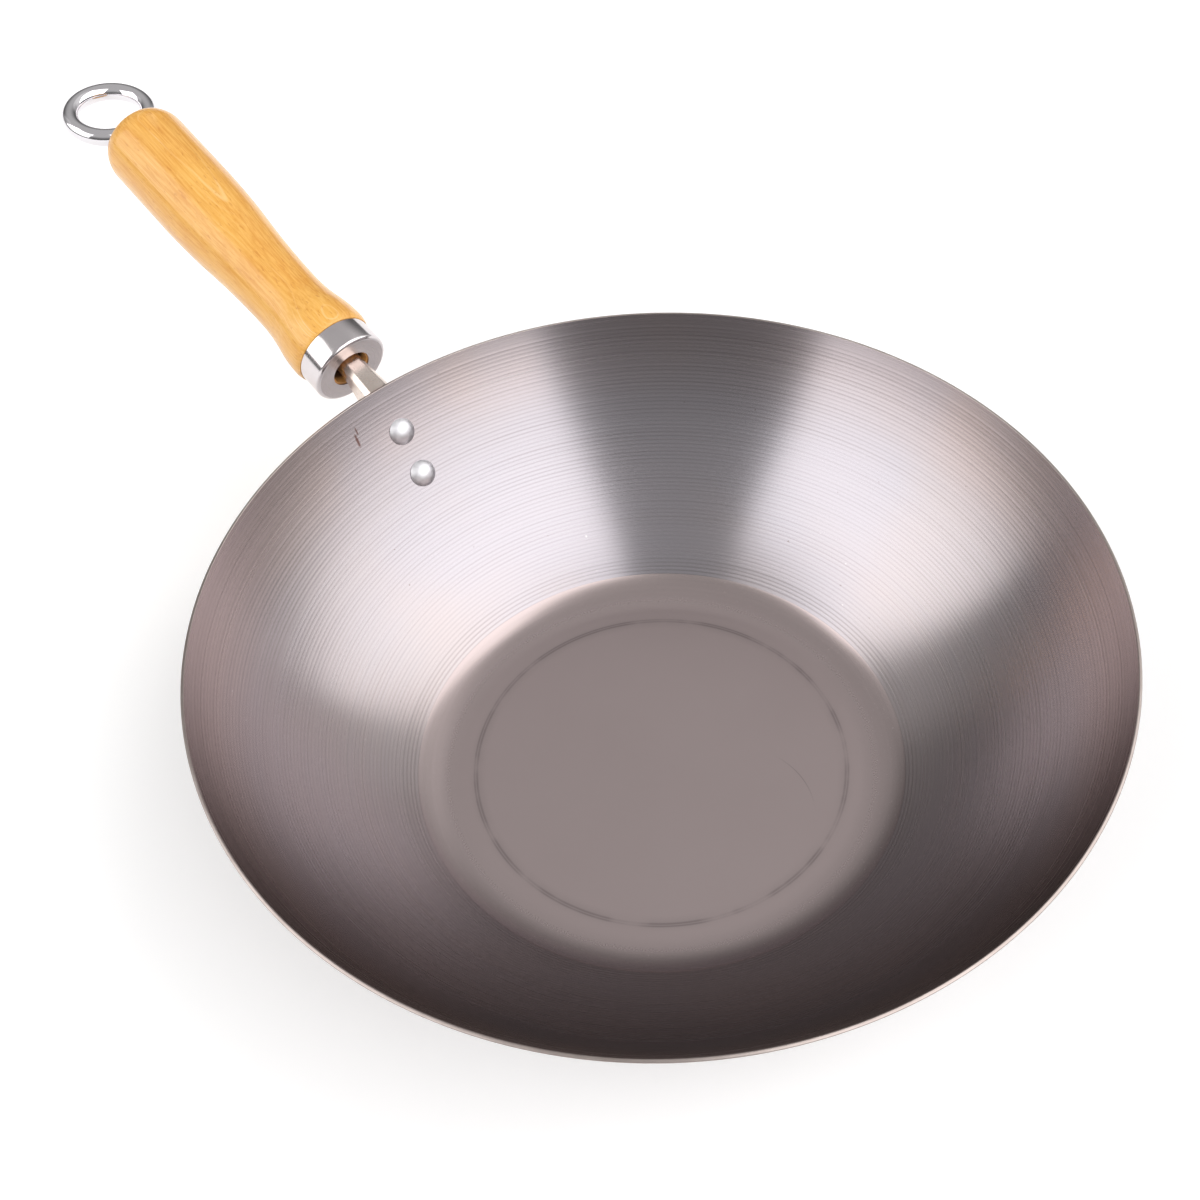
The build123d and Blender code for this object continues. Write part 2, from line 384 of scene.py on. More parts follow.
def calc(nodes, operation, *values):
    """The result of one math node."""
    return put(nodes, "ShaderNodeMath", {"operation": operation}, dict(enumerate(values))).outputs[0]


def times(nodes, value, *factors):
    """The product of two or more values."""
    for factor in factors:
        value = calc(nodes, "MULTIPLY", value, factor)
    return value


def vector_calc(nodes, operation, *values):
    """The result of one vector math node. A length, a distance and a dot product are numbers."""
    n = put(nodes, "ShaderNodeVectorMath", {"operation": operation}, dict(enumerate(values)))
    return n.outputs["Value" if operation in ("LENGTH", "DISTANCE", "DOT_PRODUCT") else "Vector"]


def split(nodes, vector):
    """The x, y and z of a vector."""
    return put(nodes, "ShaderNodeSeparateXYZ", None, {0: vector}).outputs


def joined(nodes, **parts):
    """A vector made from its X, Y and Z; a part that isn't given is 0."""
    return put(nodes, "ShaderNodeCombineXYZ", None, parts).outputs[0]


def on_object(nodes):
    """The place of a point in the piece's own axes, in metres."""
    return put(nodes, "ShaderNodeTexCoord").outputs["Object"]


def stretched(nodes, place, scales):
    """The place with each of its three directions scaled by itself."""
    return put(nodes, "ShaderNodeMapping", None, {"Vector": place, "Scale": scales}).outputs[0]


def smooth(nodes, value, start, end, low=0.0, high=1.0):
    """value eased from low at start to high at end."""
    inputs = {"Value": value, "From Min": start, "From Max": end, "To Min": low, "To Max": high}
    return put(nodes, "ShaderNodeMapRange", {"interpolation_type": "SMOOTHSTEP"}, inputs).outputs["Result"]


def near(nodes, value, target, half_width):
    """1 where the value is at the target, eased to 0 at half_width from it."""
    away = calc(nodes, "ABSOLUTE", calc(nodes, "SUBTRACT", value, target))
    return smooth(nodes, away, 0.0, half_width, 1.0, 0.0)


def noise(nodes, place, scale, detail, roughness=0.5, distortion=0.0):
    """Noise round 0.5; scale is in waves per metre."""
    inputs = {"Vector": place, "Scale": scale, "Detail": detail, "Roughness": roughness,
              "Distortion": distortion}
    return put(nodes, "ShaderNodeTexNoise", None, inputs).outputs["Fac"]


def blend(nodes, factor, a, b):
    """Two colours mixed."""
    n = put(nodes, "ShaderNodeMix", {"data_type": "RGBA"}, {0: factor})
    for index, value in ((6, a), (7, b)):
        if isinstance(value, bpy.types.NodeSocket):
            nodes.id_data.links.new(value, n.inputs[index])
        else:
            n.inputs[index].default_value = (*value, 1.0)
    return n.outputs[2]


def bumps(nodes, strength, distance, height):
    """The normals of a surface roughened by this height."""
    inputs = {"Strength": strength, "Distance": distance, "Height": height}
    return put(nodes, "ShaderNodeBump", None, inputs).outputs[0]


def new_material(name):
    """An empty node material and its shader."""
    material = bpy.data.materials.new(name)
    material.use_nodes = True
    return material, material.node_tree.nodes, material.node_tree.nodes["Principled BSDF"]


def feed(nodes, shader, **sockets):
    """Sets or links the shader's sockets; an underscore in a name stands for a space."""
    for key, value in sockets.items():
        socket = shader.inputs[key.replace("_", " ")]
        if isinstance(value, bpy.types.NodeSocket):
            nodes.id_data.links.new(value, socket)
        else:
            socket.default_value = value


def spun(nodes):
    """Radius from the axis, the direction round it and the place, for marks that run in circles."""
    place = on_object(nodes)
    parts = split(nodes, place)
    flat = joined(nodes, X=parts[0], Y=parts[1])
    return vector_calc(nodes, "LENGTH", flat), vector_calc(nodes, "NORMALIZE", flat), place


def circles(nodes, radius, round_it, along, across):
    """A texture place that changes slowly round the axis and quickly across the radius."""
    turned_place = put(nodes, "ShaderNodeVectorMath", {"operation": "SCALE"}, {0: round_it, "Scale": along})
    return vector_calc(nodes, "ADD", turned_place.outputs[0], joined(nodes, Z=times(nodes, radius, across)))


def rings(nodes, radius, scale, detail=2.0, roughness=0.5):
    """Noise that changes with the radius alone, for marks that run unbroken round the axis."""
    inputs = {"W": times(nodes, radius, scale), "Scale": 1.0, "Detail": detail, "Roughness": roughness}
    return put(nodes, "ShaderNodeTexNoise", {"noise_dimensions": "1D"}, inputs).outputs["Fac"]


def ridge_shade_lines(nodes, radius, round_it):
    """The run along the wall, and 1 in the line of painted shade at the crest of each spun ridge, some
    fainter.
    """
    inner = wall_radius - bowl_sheet
    sine = calc(nodes, "DIVIDE", calc(nodes, "SUBTRACT", radius, wall_centre[0]), inner)
    run = times(nodes, calc(nodes, "SUBTRACT", calc(nodes, "ARCSINE", sine), wall_start_angle), inner)
    turn = calc(nodes, "DIVIDE", run, ridge_pitch)
    rank = calc(nodes, "ROUND", turn)
    line = near(nodes, turn, rank, ridge_shade_reach)
    own = put(nodes, "ShaderNodeTexWhiteNoise", {"noise_dimensions": "1D"}, {"W": rank}).outputs["Value"]
    own = calc(nodes, "ADD", 0.45, times(nodes, own, 0.55))
    own = calc(nodes, "MAXIMUM", own, smooth(nodes, turn, first_ridges, first_ridges + 2, 1.5, 0.0))
    own = times(nodes, own, smooth(nodes, turn, 0.3 * full_ridges, 0.9 * full_ridges, 0.75, 1.3))
    patch = noise(nodes, circles(nodes, radius, round_it, 1.4, 50), 1.0, 1)
    patch = smooth(nodes, patch, 0.3, 0.65, 0.4, 1.0)
    last = wall_length - smooth_rim_band
    plain = smooth(nodes, run, last - ridge_pitch, last, 1.0, 0.0)
    return run, times(nodes, line, own, patch, plain)


def inside_wall(nodes, radius, place):
    """1 on the inner face of the wall and 0 on the outer one."""
    height = calc(nodes, "SUBTRACT", split(nodes, place)[2], wall_centre[1])
    arm = joined(nodes, X=calc(nodes, "SUBTRACT", radius, wall_centre[0]), Y=height)
    arm = vector_calc(nodes, "LENGTH", arm)
    return smooth(nodes, arm, wall_radius - 0.75 * bowl_sheet, wall_radius - 0.25 * bowl_sheet, 1.0, 0.0)


def wall_steel():
    """Bare steel with spun circles and painted shade along their crests, browner towards the rim and faintly
    tempered on one side.
    """
    material, nodes, shader = new_material("spun_steel")
    radius, round_it, place = spun(nodes)
    fine = rings(nodes, radius, 2300, 3, 0.6)
    wide = rings(nodes, radius, 260)
    cloud = noise(nodes, place, 16, 2)
    colour = blend(nodes, fine, *wall_shades)
    colour = blend(nodes, times(nodes, wide, 0.4), colour, wall_band_colour)
    colour = blend(nodes, smooth(nodes, cloud, 0.35, 0.65, 0.0, 0.35), colour, wall_cloud_colour)
    run, line = ridge_shade_lines(nodes, radius, round_it)
    brown = smooth(nodes, run, 0.6 * wall_length, 0.9 * wall_length, 0.0, 0.5)
    colour = blend(nodes, brown, colour, wall_rim_colour)
    tempered = smooth(nodes, noise(nodes, place, 11, 2), 0.38, 0.62, 0.3, 1.0)
    aside = vector_calc(nodes, "DOT_PRODUCT", place, tempered_side)
    tempered = times(nodes, tempered, smooth(nodes, aside, 0.0, 0.09, 0.0, 0.5))
    colour = blend(nodes, tempered, colour, tempered_colour)
    # Painted shade along the crests of the spun ridges
    colour = blend(nodes, times(nodes, line, ridge_shade_strength), colour, ridge_shade_colour)
    pits = smooth(nodes, noise(nodes, place, 620, 1), 0.80, 0.84, 0.0, 0.6)
    flecks = smooth(nodes, noise(nodes, place, 540, 1), 0.19, 0.15, 0.0, 0.5)
    colour = blend(nodes, pits, colour, pit_colour)
    colour = blend(nodes, flecks, colour, fleck_colour)
    inside = inside_wall(nodes, radius, place)
    ragged = times(nodes, calc(nodes, "SUBTRACT", fine, 0.5), 0.9)
    for centre, radii in rust_marks:
        away = vector_calc(nodes, "DIVIDE", vector_calc(nodes, "SUBTRACT", place, centre), radii)
        away = calc(nodes, "ADD", vector_calc(nodes, "LENGTH", away), ragged)
        share = times(nodes, inside, smooth(nodes, away, 0.5, 1.1, 0.8, 0.0))
        colour = blend(nodes, share, colour, rust_colour)
    rough = calc(nodes, "ADD", 0.225, times(nodes, fine, 0.075))
    bump = bumps(nodes, 0.2, 0.01 * mm, rings(nodes, radius, 6500))
    tangent = put(nodes, "ShaderNodeTangent", {"direction_type": "RADIAL", "axis": "Z"}).outputs[0]
    feed(nodes, shader, Base_Color=colour, Metallic=1.0, Roughness=rough, Normal=bump, Tangent=tangent,
         Anisotropic=0.72, Anisotropic_Rotation=0.25, Specular_Tint=(*wall_edge_tint, 1.0))
    return material


def base_steel():
    """Satin steel with painted shade up the corner, with the press's double line and a scratch."""
    material, nodes, shader = new_material("satin_steel")
    radius, round_it, place = spun(nodes)
    grain = noise(nodes, place, 2200, 2, 0.6)
    colour = blend(nodes, noise(nodes, place, 22, 3), *base_shades)
    corner_end = base_flat_radius + base_corner_radius
    # Painted shade up the rounded corner, broken into faint bands
    corner = smooth(nodes, radius, base_flat_radius, 0.87 * corner_end, 0.0, 0.42)
    bands = calc(nodes, "ADD", 0.7, times(nodes, rings(nodes, radius, 700), 0.6))
    colour = blend(nodes, times(nodes, corner, bands), colour, corner_shade_colour)
    worn = smooth(nodes, noise(nodes, place, 45, 3, 0.6), 0.36, 0.60, 0.25, 1.0)
    mark = calc(nodes, "MAXIMUM", near(nodes, radius, base_mark_radius, 0.7 * mm),
                near(nodes, radius, base_mark_radius + base_mark_gap, 0.6 * mm))
    halo = near(nodes, radius, base_mark_radius, 3.5 * mm)
    mark = calc(nodes, "ADD", times(nodes, mark, 0.32), times(nodes, halo, 0.12))
    colour = blend(nodes, times(nodes, mark, worn), colour, base_mark_colour)
    x, y = split(nodes, place)[:2]
    away = vector_calc(nodes, "DISTANCE", place, (*scratch_middle, bowl_sheet))
    ends = near(nodes, x, scratch_middle[0] - 4.5 * mm, 14.0 * mm)
    side = smooth(nodes, y, scratch_middle[1] - 18.0 * mm, scratch_middle[1] - 14.0 * mm, 1.0, 0.0)
    scratch = times(nodes, near(nodes, away, scratch_radius, 0.3 * mm), ends, side, 0.4)
    colour = blend(nodes, scratch, colour, scratch_colour)
    rough = smooth(nodes, radius, 0.95 * base_flat_radius, 1.1 * base_flat_radius, 0.32, 0.23)
    rough = calc(nodes, "ADD", rough, times(nodes, grain, 0.06))
    bump = bumps(nodes, 0.06, 0.01 * mm, grain)
    feed(nodes, shader, Base_Color=colour, Metallic=1.0, Roughness=rough, Normal=bump)
    return material


def plated_steel():
    """Nickel plate over pressed steel, with the soft waves of the pressing."""
    material, nodes, shader = new_material("nickel_plate")
    place = on_object(nodes)
    waves = noise(nodes, place, 180, 2)
    cloud = noise(nodes, place, 130, 3, 0.55)
    colour = blend(nodes, smooth(nodes, cloud, 0.3, 0.7), *nickel_shades)
    rough = smooth(nodes, waves, 0.3, 0.7, 0.25, 0.30)
    bump = bumps(nodes, 0.04, 0.08 * mm, waves)
    feed(nodes, shader, Base_Color=colour, Metallic=1.0, Roughness=rough, Normal=bump)
    return material


def polished_steel(name, rough_low, rough_high, shades):
    """Plated steel turned in a lathe, with faint circles round its axis."""
    material, nodes, shader = new_material(name)
    radius, round_it, place = spun(nodes)
    course = calc(nodes, "ADD", radius, split(nodes, place)[2])
    lines = noise(nodes, circles(nodes, course, round_it, 1.2, 5000), 1.0, 3, 0.6)
    colour = blend(nodes, noise(nodes, place, 160, 2), *shades)
    rough = smooth(nodes, lines, 0.3, 0.7, rough_low, rough_high)
    bump = bumps(nodes, 0.12, 0.01 * mm, lines)
    feed(nodes, shader, Base_Color=colour, Metallic=1.0, Roughness=rough, Normal=bump)
    return material


def headed_aluminium():
    """Dull aluminium with the small dents of cold heading."""
    material, nodes, shader = new_material("headed_aluminium")
    place = on_object(nodes)
    cloud = noise(nodes, place, 800, 3, 0.6)
    colour = blend(nodes, cloud, *aluminium_shades)
    rough = smooth(nodes, cloud, 0.3, 0.7, 0.44, 0.56)
    bump = bumps(nodes, 0.3, 0.12 * mm, noise(nodes, place, 420, 3, 0.55))
    feed(nodes, shader, Base_Color=colour, Metallic=1.0, Roughness=rough, Normal=bump)
    return material


def zinc_steel():
    """Zinc plate, in faint cloudy spangles."""
    material, nodes, shader = new_material("zinc_steel")
    cloud = noise(nodes, on_object(nodes), 300, 3, 0.6)
    colour = blend(nodes, cloud, *zinc_shades)
    rough = smooth(nodes, cloud, 0.3, 0.7, 0.26, 0.4)
    feed(nodes, shader, Base_Color=colour, Metallic=1.0, Roughness=rough)
    return material


def chrome():
    """Bright chrome over bent bar, slightly wavy and hazy in places."""
    material, nodes, shader = new_material("bright_chrome")
    place = on_object(nodes)
    rough = smooth(nodes, noise(nodes, place, 500, 3, 0.6), 0.35, 0.75, 0.05, 0.13)
    bump = bumps(nodes, 0.25, 0.1 * mm, noise(nodes, place, 110, 2))
    feed(nodes, shader, Base_Color=(*chrome_colour, 1.0), Metallic=1.0, Roughness=rough, Normal=bump)
    return material


def wood_figure(nodes, place):
    """Three shares that follow the growth of the wood: pale growth lines, fibres and dark pores."""
    x, y = split(nodes, place)[:2]
    facing = calc(nodes, "ADD", times(nodes, x, math.cos(layer_facing)),
                  times(nodes, y, math.sin(layer_facing)))
    wander = noise(nodes, stretched(nodes, place, (55, 55, 16)), 1.0, 2)
    layer = calc(nodes, "ADD", calc(nodes, "DIVIDE", facing, layer_pitch), times(nodes, wander, 4.0))
    edge = calc(nodes, "ABSOLUTE", calc(nodes, "SUBTRACT", calc(nodes, "FRACT", layer), 0.5))
    line = smooth(nodes, edge, 0.0, 0.22, 1.0, 0.0)
    strength = noise(nodes, joined(nodes, X=times(nodes, layer, 0.8)), 1.0, 1)
    strength = smooth(nodes, strength, 0.42, 0.62)
    patch = noise(nodes, stretched(nodes, place, (90, 90, 30)), 1.0, 2)
    line = times(nodes, line, strength, smooth(nodes, patch, 0.35, 0.65))
    fibre = noise(nodes, stretched(nodes, place, (1300, 1300, 70)), 1.0, 4, 0.65)
    pores = noise(nodes, stretched(nodes, place, (1200, 1200, 260)), 1.0, 2, 0.5, 0.4)
    return line, fibre, smooth(nodes, pores, 0.60, 0.72)


def lacquered_wood():
    """Pale hardwood under clear lacquer."""
    material, nodes, shader = new_material("lacquered_wood")
    place = on_object(nodes)
    line, fibre, pore = wood_figure(nodes, place)
    broad = noise(nodes, stretched(nodes, place, (110, 110, 26)), 1.0, 3, 0.55)
    colour = blend(nodes, smooth(nodes, broad, 0.3, 0.7), *wood_shades)
    colour = blend(nodes, smooth(nodes, fibre, 0.35, 0.68, 0.0, 0.75), colour, wood_fibre_colour)
    colour = blend(nodes, times(nodes, line, 0.65), colour, wood_line_colour)
    colour = blend(nodes, times(nodes, pore, 0.6), colour, wood_pore_colour)
    waves = noise(nodes, stretched(nodes, place, (420, 420, 110)), 1.0, 4, 0.6)
    bump = bumps(nodes, 0.35, 0.08 * mm, waves)
    feed(nodes, shader, Base_Color=colour, Roughness=0.45, Normal=bump, Specular_IOR_Level=0.3,
         Coat_Weight=0.75, Coat_Roughness=0.18, Coat_Normal=bump)
    return material


def bare_wood():
    """Raw end grain in the bores, with painted shade that darkens it deep inside."""
    material, nodes, shader = new_material("bare_end_grain")
    place = on_object(nodes)
    grain = noise(nodes, place, 900, 3, 0.6)
    # Painted shade, darker the deeper inside the bores
    deep = smooth(nodes, split(nodes, place)[2], ferrule_sheet + 0.8 * mm, ferrule_sheet + 4.0 * mm)
    colour = blend(nodes, grain, *end_grain_shades)
    colour = blend(nodes, deep, colour, bore_shade_colour)
    feed(nodes, shader, Base_Color=colour, Roughness=0.6, Normal=bumps(nodes, 0.5, 0.1 * mm, grain))
    return material


# Bowl


def ridge(turn, last, gains):
    """Height of the spun ridges this many pitches along the wall: shallow hollows between sharp crests."""
    gain = gains[round(turn) % len(gains)]
    if turn < first_ridges:
        gain *= first_ridge_gain
    growth = min(1.0, ridge_start_share + turn / full_ridges)
    fade = max(0.0, min(1.0, last - turn))
    return ridge_height * gain * growth * fade * (2 * (turn % 1.0) - 1) ** 2


def bowl_outline():
    """Outline from the middle of the inside, over the rim, to the middle of the underside."""
    chance = random.Random(4)
    last = (wall_length - smooth_rim_band) / ridge_pitch
    gains = [chance.uniform(*ridge_gains) for _ in range(int(last) + 2)]
    points = [(base_flat_radius * share, bowl_sheet) for share in spread(0.0, 0.99, 12) + [1.0]]
    zones = ["base"] * 13
    corner = (base_flat_radius, base_corner_radius)
    for angle in spread(0.0, wall_start_angle, 20)[1:]:
        points.append(on_arc(corner, base_corner_radius - bowl_sheet, angle))
        zones.append("base")
    inner = wall_radius - bowl_sheet
    rim_turn = rim_round / inner
    turns = [whole + part for whole in range(int(last) + 1) for part in ridge_places]
    turns = [turn for turn in turns if 0 < turn < last]
    for turn in turns + spread(last, (wall_length - rim_round) / ridge_pitch, 3):
        angle = wall_start_angle + turn * ridge_pitch / inner
        points.append(on_arc(wall_centre, inner - ridge(turn, last, gains), angle))
        zones.append("wall")
    rounds = ((inner + rim_round, (-math.pi / 2, 0.0)), (wall_radius - rim_round, (0.0, math.pi / 2)))
    for radius, sweep in rounds:
        middle = on_arc(wall_centre, radius, rim_angle - rim_turn)
        for turn in spread(*sweep, 5):
            along = rim_round * math.cos(turn)
            out = rim_round * math.sin(turn)
            points.append((middle[0] + along * math.cos(rim_angle) + out * math.sin(rim_angle),
                           middle[1] + along * math.sin(rim_angle) - out * math.cos(rim_angle)))
            zones.append("rim")
    for angle in spread(rim_angle - rim_turn, wall_start_angle, outer_steps)[1:]:
        points.append(on_arc(wall_centre, wall_radius, angle))
        zones.append("outside")
    for angle in spread(wall_start_angle, 0.0, 16)[1:]:
        points.append(on_arc(corner, base_corner_radius, angle))
        zones.append("outside")
    for share in spread(1.0, 0.0, 8)[1:]:
        points.append((base_flat_radius * share, 0.0))
        zones.append("outside")
    return points, zones


def bowl():
    """The bowl in one turned mesh; the cut rim and the base have finishes of their own."""
    order = {"base": 0, "wall": 1, "rim": 2, "outside": 1}
    points, zones = bowl_outline()
    mesh = turned("spun_bowl", points, bowl_sides, zones=[order[z] for z in zones], sharp=50)
    finishes = [base_steel(), wall_steel(), polished_steel("cut_steel", 0.28, 0.4, cut_steel_shades)]
    link("spun_bowl", mesh, finishes, "wok", "carbon_steel", "bowl")


# Rivets


def rivet_outline():
    """Domed head at the top, shank and closed tail, from the inner face of the wall at height zero."""
    dome = [(0.0, rivet_head_height)]
    bend_to(dome, 0.0, (rivet_head_radius - rivet_edge_round, rivet_head_rim + rivet_edge_round), 16)
    dome += [(rivet_head_radius, rivet_head_rim), (rivet_head_radius, -rivet_seat_depth)]
    stack = bowl_sheet + bracket_sheet
    tail_end = -(stack + rivet_tail_height)
    tail = [(rivet_shank_radius, -rivet_seat_depth), (rivet_shank_radius, rivet_seat_depth - stack),
            (rivet_tail_radius, rivet_seat_depth - stack), (rivet_tail_radius, tail_end + rivet_tail_round)]
    bend(tail, -math.pi / 2, rivet_tail_round, -math.pi / 2, 6)
    return dome + tail + [(0.0, tail_end)]


def rivet(name, node, distance, spin):
    """A rivet square to the wall, this far from the rim along the inside."""
    angle = rim_angle - distance / (wall_radius - bowl_sheet)
    x, z = on_arc(wall_centre, wall_radius - bowl_sheet, angle)
    inwards = Vector((-math.sin(angle), 0, math.cos(angle)))
    upwards = Vector((math.cos(angle), 0, math.sin(angle)))
    axes = Matrix((upwards, inwards.cross(upwards), inwards)).transposed().to_4x4()
    place = Matrix.Translation((x, 0, z)) @ axes @ Matrix.Rotation(spin, 4, "Z")
    mesh = turned(name, rivet_outline(), rivet_sides, sharp=40)
    link(name, mesh, headed, "wok", "rivet_aluminium", node, place=place)


# Bracket


def through(along, values):
    """A value that runs smoothly through its three values along the neck and is constant in the tang."""
    a, b, c = neck_stations
    x = min(along, c)
    return (values[0] * (x - b) * (x - c) / ((a - b) * (a - c))
            + values[1] * (x - a) * (x - c) / ((b - a) * (b - c))
            + values[2] * (x - a) * (x - b) / ((c - a) * (c - b)))


def eased(before, corner, after, reach, steps):
    """The corner of an outline turned into a short curve that starts and ends this far from it."""
    start = corner + (before - corner).normalized() * reach
    end = corner + (after - corner).normalized() * reach
    return [start * (1 - s) ** 2 + corner * 2 * s * (1 - s) + end * s * s for s in spread(0.0, 1.0, steps)]


def channel(along, inset, setback, edge):
    """Skin of the inverted U from foot to foot, as (up, across) points, with a flattened bend."""
    width, foot_spread, flange = (through(along, values) for values in neck_shape)
    top = Vector((channel_top - inset, 0))
    corner = Vector((channel_top - inset, width / 2 - inset))
    foot = Vector((channel_top - flange, foot_spread / 2 - inset))
    upper = corner - Vector((0, setback))
    lower = corner + (foot - corner).normalized() * setback
    half = [top] + eased(top, upper, lower, edge, 4) + eased(upper, lower, foot, edge, 4) + [foot]
    return [Vector((p.x, -p.y)) for p in half[:0:-1]] + half


def outside_wall(point):
    """How far a place is outside the outer face of the wall."""
    return math.hypot(math.hypot(point.x, point.y) - wall_centre[0], point.z - wall_centre[1]) - wall_radius


def neck_point(index, along, skin):
    """A point of one skin of the neck. The outer skin flares where it meets the plate."""
    section = channel(along, *skin)
    p = section[index]
    place = handle_place @ Vector((p.x, p.y, along))
    if skin[0] > 0:
        return place
    above = min(1.0, max(0.0, (outside_wall(place) - bracket_sheet) / neck_flare))
    tangent = section[min(index + 1, len(section) - 1)] - section[max(index - 1, 0)]
    p = p + Vector((tangent.y, -tangent.x)).normalized() * neck_flare * (1 - math.sqrt(1 - (1 - above) ** 2))
    return handle_place @ Vector((p.x, p.y, along))


def neck_line(index, skin):
    """One line of the neck, from the end of the tang to the middle of the plate's sheet."""
    near_end = -neck_search_depth
    far_end = 0.0
    for _ in range(24):
        middle = (near_end + far_end) / 2
        if outside_wall(neck_point(index, middle, skin)) > bracket_sheet / 2:
            far_end = middle
        else:
            near_end = middle
    places = [tang_length, tang_length / 2] + [far_end * (1 - (1 - s) ** 2) for s in spread(0.0, 1.0, 26)]
    return [neck_point(index, along, skin) for along in places]


def plate_loop(inset, height, share=1.0):
    """Outline of the rivet plate, drawn in by inset, this high over the wall, scaled about its middle."""
    half_length = (upper_rivet_from_rim + rivet_spacing + plate_end_margin - plate_top_from_rim) / 2
    middle = plate_top_from_rim + half_length
    points = []
    for sign_s, sign_y, start in ((1, 1, 0.0), (-1, 1, 0.5), (-1, -1, 1.0), (1, -1, 1.5)):
        for turn in spread(start * math.pi, (start + 0.5) * math.pi, 8):
            s = sign_s * (half_length - plate_corner_radius) + (plate_corner_radius - inset) * math.cos(turn)
            y = sign_y * (plate_width / 2 - plate_corner_radius)
            y += (plate_corner_radius - inset) * math.sin(turn)
            angle = rim_angle - (middle + s * share) / (wall_radius - bowl_sheet)
            radius, z = on_arc(wall_centre, wall_radius + height, angle)
            points.append(Vector((math.sqrt(radius ** 2 - (y * share) ** 2), y * share, z)))
    return points


def add_loops(points, faces, loops):
    """Adds closed loops of equal length, the faces between them and a lid on each end."""
    count = len(loops[0])
    start = len(points)
    for loop in loops:
        points.extend(loop)
    for row in range(start, len(points) - count, count):
        for i in range(count):
            j = (i + 1) % count
            faces.append((row + i, row + j, row + count + j, row + count + i))
    for row in (start, len(points) - count):
        for i in range(count // 2 - 1):
            corners = (row + i, row + i + 1, row + count - 2 - i, row + count - 1 - i)
            faces.append(tuple(dict.fromkeys(corners)))


def bracket():
    """Neck and tang in one closed shell and the rivet plate in another; they overlap in the plate's sheet."""
    outer = (0.0, bend_setback, bend_edge_round)
    inner = (bracket_sheet, inner_bend_setback, inner_bend_edge_round)
    count = len(channel(0.0, *outer))
    lines = [neck_line(i, outer) for i in range(count)]
    lines += [neck_line(i, inner) for i in reversed(range(count))]
    points = []
    faces = []
    add_loops(points, faces, list(zip(*lines)))
    loops = [plate_loop(0.0, 0.0, share) for share in spread(0.02, 1.0, 6)]
    for turn in spread(0.0, math.pi / 2, 4):
        loops.append(plate_loop(plate_edge_round * (1 - math.cos(turn)),
                                bracket_sheet - plate_edge_round * (1 - math.sin(turn))))
    loops += [plate_loop(plate_edge_round, bracket_sheet, share) for share in spread(1.0, 0.02, 6)[1:]]
    add_loops(points, faces, loops)
    inverse = handle_place.inverted()
    mesh = bpy.data.meshes.new("pressed_bracket")
    mesh.from_pydata([inverse @ p for p in points], [], faces)
    shape = bmesh.new()
    shape.from_mesh(mesh)
    bmesh.ops.recalc_face_normals(shape, faces=shape.faces)
    shape.to_mesh(mesh)
    shape.free()
    mesh.polygons.foreach_set("use_smooth", [True] * len(mesh.polygons))
    mesh.set_sharp_from_angle(angle=math.radians(40))
    link("pressed_bracket", mesh, plated_steel(), "wok", "plated_steel", "handle_bracket", place=handle_place)


# Handle


def ferrule():
    """A cup with a round hole in its front; the front has a duller plate than the side."""
    edge = [(0.0, ferrule_radius - ferrule_edge_round)]
    bend(edge, math.pi / 2, ferrule_edge_round, -math.pi / 2, 12)
    edge.append((ferrule_length - ferrule_mouth_round, ferrule_radius))
    bend(edge, 0.0, ferrule_mouth_round, -math.pi / 2, 5)
    inner = ferrule_radius - ferrule_sheet
    edge += [(ferrule_length, inner), (ferrule_sheet, inner), (ferrule_sheet, ferrule_hole_radius),
             (ferrule_mouth_round, ferrule_hole_radius)]
    bend(edge, math.pi, ferrule_mouth_round, -math.pi / 2, 5)
    zones = [1 if radius < ferrule_radius - ferrule_edge_round and along < ferrule_sheet else 0
             for along, radius in edge]
    mesh = turned_along("polished_ferrule", edge, handle_sides, zones=zones, closed=True)
    finishes = [polished_steel("polished_steel", 0.10, 0.20, polished_shades),
                polished_steel("satin_plate", 0.26, 0.36, satin_plate_shades)]
    link("polished_ferrule", mesh, finishes, "wok", "polished_steel", "ferrule", place=handle_place)


def grip_outline():
    """Spigot, bead, waist, belly and rounded end, then back through the bores."""
    spigot_radius = ferrule_radius - ferrule_sheet - spigot_clearance
    shoulder = [(bead_from_ferrule, bead_radius)]
    bend_to(shoulder, math.pi, (ferrule_length, grip_front_radius), 8)
    points = [(ferrule_sheet, grip_mouth_radius), (ferrule_sheet, spigot_radius),
              (ferrule_length, spigot_radius)]
    points += shoulder[::-1]
    waist = (waist_from_ferrule, waist_radius)
    belly = (belly_from_ferrule, belly_radius)
    for end, share, steps in ((waist, waist_turn_share, 12), (belly, belly_turn_share, 20)):
        start = points[-1]
        middle = (start[0] + (end[0] - start[0]) * share, start[1] + (end[1] - start[1]) * share)
        heading = bend_to(points, 0.0, middle, steps)
        bend_to(points, heading, end, steps)
    points.append((end_round_from_ferrule, belly_radius))
    heading = bend(points, 0.0, end_round_radius, -end_round_angle, 8)
    bend(points, heading, end_edge_radius, end_round_angle - math.pi / 2, 8)
    lacquered = len(points)
    mouth_end = ferrule_sheet + grip_mouth_depth
    points += [(points[-1][0], rod_bore_radius), (tang_bore_depth, rod_bore_radius),
               (tang_bore_depth, tang_bore_radius), (mouth_end, tang_bore_radius),
               (mouth_end, grip_mouth_radius)]
    zones = [1] + [0] * lacquered + [1] * (len(points) - lacquered - 1)
    return points, zones


